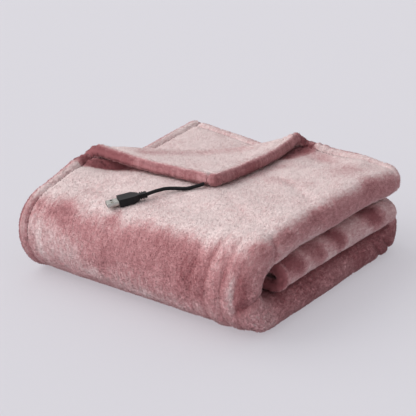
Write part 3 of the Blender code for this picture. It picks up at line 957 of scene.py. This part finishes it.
def makePile(throw):
    chance = np.random.default_rng(pile["seed"])
    places, laid, nap, normals, downward, worth = pileGround(throw)
    tufts = []
    material = makePlush("rose_pile", False)
    for number in range(pile["pieces"]):
        count = pile["tufts"]
        faces = chance.choice(len(worth), count, p=worth)
        shares = chance.random((count, 2))
        flip = shares.sum(1) > 1
        shares[flip] = 1 - shares[flip]
        weights = np.stack([1 - shares.sum(1), shares[:, 0], shares[:, 1]], 1)
        roots = (places[faces] * weights[:, :, None]).sum(1)
        flat = (laid[faces] * weights[:, :, None]).sum(1)
        tuftNapAndLight = (nap[faces] * weights).sum(1)
        out, along = normals[faces], downward[faces]
        gap = pile["seamGap"] * (0.5 + chance.random(count) / 2)
        clear = np.array([seamAway(*place) for place in flat]) > gap
        clear &= roots[:, 2] > pile["height"]
        roots, flat, tuftNapAndLight, out, along = [kept[clear] for kept in (roots, flat, tuftNapAndLight, out, along)]
        count = len(roots)
        aside = np.cross(out, along)
        size = pile["thickness"] * (pile["thinnest"] + pile["thicker"] * chance.random((count, 1)))
        spin = chance.random(count) * 2 * math.pi
        base, baked = [], []
        for third in range(3):
            angle = (spin + third * 2 * math.pi / 3)[:, None]
            ring = along * np.cos(angle) + aside * np.sin(angle)
            base.append(roots - out * pile["rootDepth"] + size * ring)
            flatRing = np.concatenate([np.sin(angle), np.cos(angle)], 1)
            baked.append(flat + size * flatRing * pile["bakeSpread"])
        stray = chance.normal(0, pile["stray"], (count, 2))
        tall = pile["height"] * (pile["shortest"] + pile["taller"] * chance.random((count, 1)))
        tip = roots + out * tall + along * (pile["lean"] + stray[:, :1]) + aside * stray[:, 1:]
        verts = np.stack(base + [tip], 1).reshape(-1, 3)
        verts[:, 2] = np.maximum(verts[:, 2], 0.0)
        mesh, triangles = tuftMesh(verts, count)
        # on the bake map each tuft keeps a little width
        corners = np.stack(baked + [flat], 1).reshape(-1, 2)
        corners = np.stack(bakePlace(corners[:, 0], corners[:, 1]), 1)
        for name, uv in (("laid", np.repeat(flat, 12, axis=0)), ("OFBake", corners[triangles])):
            mesh.uv_layers.new(name=name).uv.foreach_set("vector", uv.astype(np.float32).ravel())
        attribute = mesh.attributes.new("nap", "FLOAT", "POINT")
        attribute.data.foreach_set("value", np.repeat(tuftNapAndLight, 4).astype(np.float32))
        piece = addObject("pile_%d" % (number + 1), mesh)
        mesh.shade_smooth()
        # the tufts take the cloth's own normals, a little ruffled
        ruffle = chance.normal(0, pile["ruffle"], (count, 2))
        soft = out + along * ruffle[:, :1] + aside * ruffle[:, 1:]
        soft = np.repeat(soft / np.linalg.norm(soft, axis=1)[:, None], 4, axis=0)
        mesh.normals_split_custom_set_from_vertices(soft.astype(np.float32))
        mesh.materials.append(material)
        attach(piece, "root")
        tufts.append(piece)
    print("pile:", sum(len(piece.data.polygons) for piece in tufts), "faces")
    return tufts


def tuftMesh(verts, count):
    # closed tufts of four corners each: three round the root, and the tip
    shape = np.array([(0, 2, 1), (0, 1, 3), (1, 2, 3), (2, 0, 3)])
    triangles = ((np.arange(count) * 4)[:, None, None] + shape).reshape(-1)
    mesh = bpy.data.meshes.new("pile")
    mesh.vertices.add(len(verts))
    mesh.vertices.foreach_set("co", verts.astype(np.float32).ravel())
    mesh.loops.add(len(triangles))
    mesh.loops.foreach_set("vertex_index", triangles.astype(np.int32))
    mesh.polygons.add(len(triangles) // 3)
    mesh.polygons.foreach_set("loop_start", np.arange(0, len(triangles), 3, dtype=np.int32))
    mesh.update(calc_edges=True)
    return mesh, triangles


# The lead
lead = {
    "radius": 0.0020,
    "pointGap": 0.0030,
}
leadRoute = [
    (0.0224, -0.0524, 0.1113),
    (0.0183, -0.0631, 0.1105),
    (0.0130, -0.0722, 0.1097),
    (0.0040, -0.0795, 0.1101),
    (-0.0030, -0.0870, 0.1104),
    (-0.0083, -0.0966, 0.1095),
    (-0.0128, -0.1064, 0.1079),
]


def smoothRoute(points, gap):
    guide = [Vector(point) - bundleMiddle for point in points]
    guide = [2 * guide[0] - guide[1]] + guide + [2 * guide[-1] - guide[-2]]
    route = []
    for first, start, end, last in zip(guide, guide[1:], guide[2:], guide[3:]):
        steps = max(1, round((end - start).length / gap))
        for step in range(steps):
            t = step / steps
            straight = 2 * start + (end - first) * t
            bend = (2 * first - 5 * start + 4 * end - last) * t ** 2
            turn = (3 * start - first - 3 * end + last) * t ** 3
            route.append(0.5 * (straight + bend + turn))
    return route + [guide[-2]]


def makeLead():
    route = smoothRoute(leadRoute, lead["pointGap"])
    curve = bpy.data.curves.new("lead", "CURVE")
    curve.dimensions = "3D"
    curve.bevel_depth = lead["radius"]
    curve.bevel_resolution = 6
    curve.use_fill_caps = True
    spline = curve.splines.new("POLY")
    spline.points.add(len(route) - 1)
    for point, place in zip(spline.points, route):
        point.co = (*place, 1.0)
    piece = addObject("lead", curve)
    curve.materials.append(makeRubber("lead_jacket", 0.0005))
    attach(piece, "root")
    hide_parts("power_cord")
    length = sum((end - start).length for start, end in zip(route, route[1:]))
    print("lead:", round(length, 4), "m")
    return piece


# The plug, in its own axes: x runs from the strain relief to the metal shell, z is its top
plug = {
    "place": (-0.0130, -0.1067, 0.1078),
    "turn": 233.5,
    "dip": 9.0,
    "clearance": 0.0003,
}
strainRelief = {
    "length": 0.0085,
    "width": 0.0078,
    "height": 0.0062,
    "ribs": 3,
    "end": 0.86,              # sizes from here on are shares of the width and height
    "rib": 0.94,
    "ribGrowth": 0.03,
    "neckWidth": 0.80,
    "neckHeight": 0.78,
    "step": 0.00004,
}
grip = {
    "length": 0.0228,
    "width": 0.0160,
    "height": 0.0082,
    "shoulder": 0.0070,
    "lip": 0.0003,
    "panelEdge": 0.0022,
    "panelSlope": 0.0003,
    "panelDepth": 0.00035,
    "rounding": 0.0009,
}
shell = {
    "length": 0.0125,
    "width": 0.0120,
    "height": 0.0045,
    "wall": 0.0004,
    "corner": 0.0007,
    "rounding": 0.00012,
}
tongue = {"length": 0.0112, "width": 0.0104, "height": 0.0016, "rounding": 0.00015}
hole = {"size": 0.0028, "apart": 0.0056, "fromGrip": 0.0052}
contact = {"length": 0.0072, "width": 0.0010, "height": 0.00012, "apart": 0.0022, "count": 4,
           "setBack": 0.0008}


def plugFrame():
    turn = Matrix.Rotation(math.radians(plug["turn"]), 4, "Z")
    dip = Matrix.Rotation(math.radians(plug["dip"]), 4, "Y")
    return Matrix.Translation(Vector(plug["place"]) - bundleMiddle) @ turn @ dip


def addBlock(bm, start, length, width, height, lift=0.0, side=0.0):
    size = Matrix.Diagonal((length, width, height, 1.0))
    place = Matrix.Translation((start + length / 2, side, lift))
    return bmesh.ops.create_cube(bm, size=1.0, matrix=place @ size)["verts"]


def keepOnPlug(name, bm, material, node=None):
    bmesh.ops.transform(bm, matrix=plugFrame(), verts=bm.verts)
    bmesh.ops.recalc_face_normals(bm, faces=bm.faces)
    piece = keepMesh(name, bm)
    piece.data.materials.append(material)
    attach(piece, "root")
    if node:
        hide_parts(node)
    return piece


def extendTo(bm, x, width, height):
    # pushes the block's front face on to x and gives it a new size
    front = max(bm.faces, key=lambda face: face.calc_center_median().x)
    made = bmesh.ops.extrude_discrete_faces(bm, faces=[front])["faces"]
    for vert in made[0].verts:
        vert.co.x = x
        vert.co.y = math.copysign(width / 2, vert.co.y)
        vert.co.z = math.copysign(height / 2, vert.co.z)


def roundEdges(piece, width, segments, limit, sharp):
    rounding = piece.modifiers.new("rounding", "BEVEL")
    rounding.width = width
    rounding.segments = segments
    rounding.limit_method = "ANGLE"
    rounding.angle_limit = math.radians(limit)
    piece.data.shade_smooth()
    piece.data.set_sharp_from_angle(angle=math.radians(sharp))
    return piece


def makeGrip():
    bm = bmesh.new()
    length, width, height = strainRelief["length"], strainRelief["width"], strainRelief["height"]
    rib, step = length / (2 * strainRelief["ribs"] + 1), strainRelief["step"]
    addBlock(bm, 0.0, rib, width * strainRelief["end"], height * strainRelief["end"])
    for number in range(strainRelief["ribs"]):
        start = rib * (2 * number + 1)
        share = strainRelief["rib"] + strainRelief["ribGrowth"] * number
        for x in (start + step, start + rib):
            extendTo(bm, x, width * share, height * share)
        for x in (start + rib + step, start + 2 * rib):
            extendTo(bm, x, width * strainRelief["neckWidth"], height * strainRelief["neckHeight"])
    extendTo(bm, length + grip["lip"], width, height)
    extendTo(bm, length + grip["shoulder"], grip["width"], grip["height"])
    extendTo(bm, length + grip["length"], grip["width"], grip["height"])
    # a shallow bare panel on the top and underside
    broad = [face for face in bm.faces if face.calc_area() > 0.00015 and abs(face.normal.z) > 0.9]
    bmesh.ops.inset_individual(bm, faces=broad, thickness=grip["panelEdge"], depth=0.0)
    bmesh.ops.inset_individual(bm, faces=broad, thickness=grip["panelSlope"], depth=-grip["panelDepth"])
    rubber = makeRubber("moulded_grip", 0.0004)
    piece = keepOnPlug("plug_grip", bm, rubber, "plug_overmould")
    return roundEdges(piece, grip["rounding"], 4, 28, 40)


def makeShell():
    start = strainRelief["length"] + grip["length"] + plug["clearance"]
    bm = bmesh.new()
    addBlock(bm, start, shell["length"], shell["width"], shell["height"])
    longEdges = []
    for edge in bm.edges:
        if abs((edge.verts[0].co - edge.verts[1].co).x) > shell["length"] / 2:
            longEdges.append(edge)
    bmesh.ops.bevel(bm, geom=longEdges, offset=shell["corner"], offset_type="OFFSET", segments=4,
                    profile=0.5, affect="EDGES", material=-1)
    near = start + hole["fromGrip"]
    middles = [side * hole["apart"] / 2 for side in (-1, 1)]
    cuts = [((near, 0, 0), (1, 0, 0)), ((near + hole["size"], 0, 0), (1, 0, 0))]
    for middle in middles:
        for side in (-1, 1):
            cuts.append(((0, middle + side * hole["size"] / 2, 0), (0, 1, 0)))
    for point, normal in cuts:
        everything = bm.verts[:] + bm.edges[:] + bm.faces[:]
        bmesh.ops.bisect_plane(bm, geom=everything, dist=0.00001, plane_co=point, plane_no=normal)
    opened = []
    for face in bm.faces:
        middle = face.calc_center_median()
        inRow = near < middle.x < near + hole["size"]
        inHole = any(abs(middle.y - y) < hole["size"] / 2 for y in middles)
        front = face.normal.x > 0.9
        if front or (inRow and inHole and middle.z > shell["height"] * 0.4):
            opened.append(face)
    bmesh.ops.delete(bm, geom=opened, context="FACES")
    steel = makeSteel("plated_steel", 0.58, 0.20)
    piece = keepOnPlug("plug_metal", bm, steel, "plug_shell")
    # the shell's inner walls get a far darker copy of the steel: painted shade inside the tube
    piece.data.materials.append(makeSteel("steel_painted_shade_inside", 0.06, 0.50))
    wall = piece.modifiers.new("wall", "SOLIDIFY")
    wall.material_offset = 1
    wall.thickness = shell["wall"]
    wall.offset = -1.0
    wall.use_even_offset = True
    return roundEdges(piece, shell["rounding"], 2, 50, 35)


def makeTongue():
    start = strainRelief["length"] + grip["length"] + plug["clearance"] * 2 + shell["wall"]
    drop = shell["height"] / 2 - shell["wall"] - plug["clearance"] - tongue["height"] / 2
    bm = bmesh.new()
    addBlock(bm, start, tongue["length"], tongue["width"], tongue["height"], lift=-drop)
    bmesh.ops.bevel(bm, geom=bm.edges[:], offset=tongue["rounding"], offset_type="OFFSET", segments=2,
                    profile=0.5, affect="EDGES", material=-1)
    block = keepOnPlug("plug_tongue_block", bm, makePlain("tongue_plastic", plastic),
                       "plug_tongue")
    strips = bmesh.new()
    stripStart = start + tongue["length"] - contact["length"] - contact["setBack"]
    lift = -drop + tongue["height"] / 2 + contact["height"] / 2
    for number in range(contact["count"]):
        side = (number - (contact["count"] - 1) / 2) * contact["apart"]
        size = (contact["length"], contact["width"], contact["height"])
        addBlock(strips, stripStart, *size, lift=lift, side=side)
    contacts = keepOnPlug("plug_contacts", strips, makePlain("contact_metal", gilt))
    return [block, contacts]


# Finishes of the lead and plug: the two colours, how rough, how unevenly so, and the lumps' size
rubber = {
    "dark": (0.004, 0.004, 0.0045),
    "pale": (0.014, 0.0135, 0.015),
    "roughness": 0.38,
    "uneven": 0.16,
    "dustSize": 0.006,
    "specular": 0.20,
}
steel = {
    "tint": (1.0, 0.98, 0.91),
    "worn": 0.70,             # how bright it is where it is worn, as a share
    "uneven": 0.18,
    "wearSize": 0.004,
    "brushSize": 0.0006,
    "brushing": (1.0, 1.0, 0.2),
}
plastic = {
    "dark": (0.72, 0.71, 0.66),
    "pale": (0.82, 0.81, 0.77),
    "roughness": 0.42,
    "uneven": 0.12,
    "lumps": (0.003, 2.0, 0.5),
    "metallic": 0.0,
}
gilt = {
    "dark": (0.66, 0.48, 0.20),
    "pale": (0.84, 0.64, 0.30),
    "roughness": 0.22,
    "uneven": 0.14,
    "lumps": (0.0015, 2.0, 0.6),
    "metallic": 1.0,
}


def makeRubber(name, grain):
    material, shader, place = startMaterial(name, {"Specular IOR Level": rubber["specular"]})
    dust = place.spread(rubber["dustSize"], 3.0, 0.6)
    fine = place.spread(grain, 2.0, 0.5)
    wire(shader, "Base Color", (dust * 0.6 + fine * 0.4).blend(rubber["dark"], rubber["pale"]))
    wire(shader, "Roughness", rubber["roughness"] + dust * rubber["uneven"])
    wire(shader, "Normal", fine.bump(0.25, 0.0001))
    return material


def makeSteel(name, bright, rough):
    material, shader, place = startMaterial(name, {"Metallic": 1.0})
    brushed = place.stretched(steel["brushing"]).spread(steel["brushSize"], 3.0, 0.6)
    wear = place.spread(steel["wearSize"], 2.0, 0.6)
    pale = [bright * part for part in steel["tint"]]
    wire(shader, "Base Color", wear.blend([steel["worn"] * part for part in pale], pale))
    wire(shader, "Roughness", rough + brushed * steel["uneven"])
    wire(shader, "Normal", brushed.bump(0.08, 0.00005))
    return material


def makePlain(name, finish):
    material, shader, place = startMaterial(name, {"Metallic": finish["metallic"]})
    cloudy = place.spread(*finish["lumps"])
    wire(shader, "Base Color", cloudy.blend(finish["dark"], finish["pale"]))
    wire(shader, "Roughness", finish["roughness"] + cloudy * finish["uneven"])
    return material


makeStage()
print("camera, lights and floor made")
plugPieces = [makeGrip(), makeShell()] + makeTongue()
makeLead()
print("lead and plug made")
throw = makeThrow()
makePile(throw)
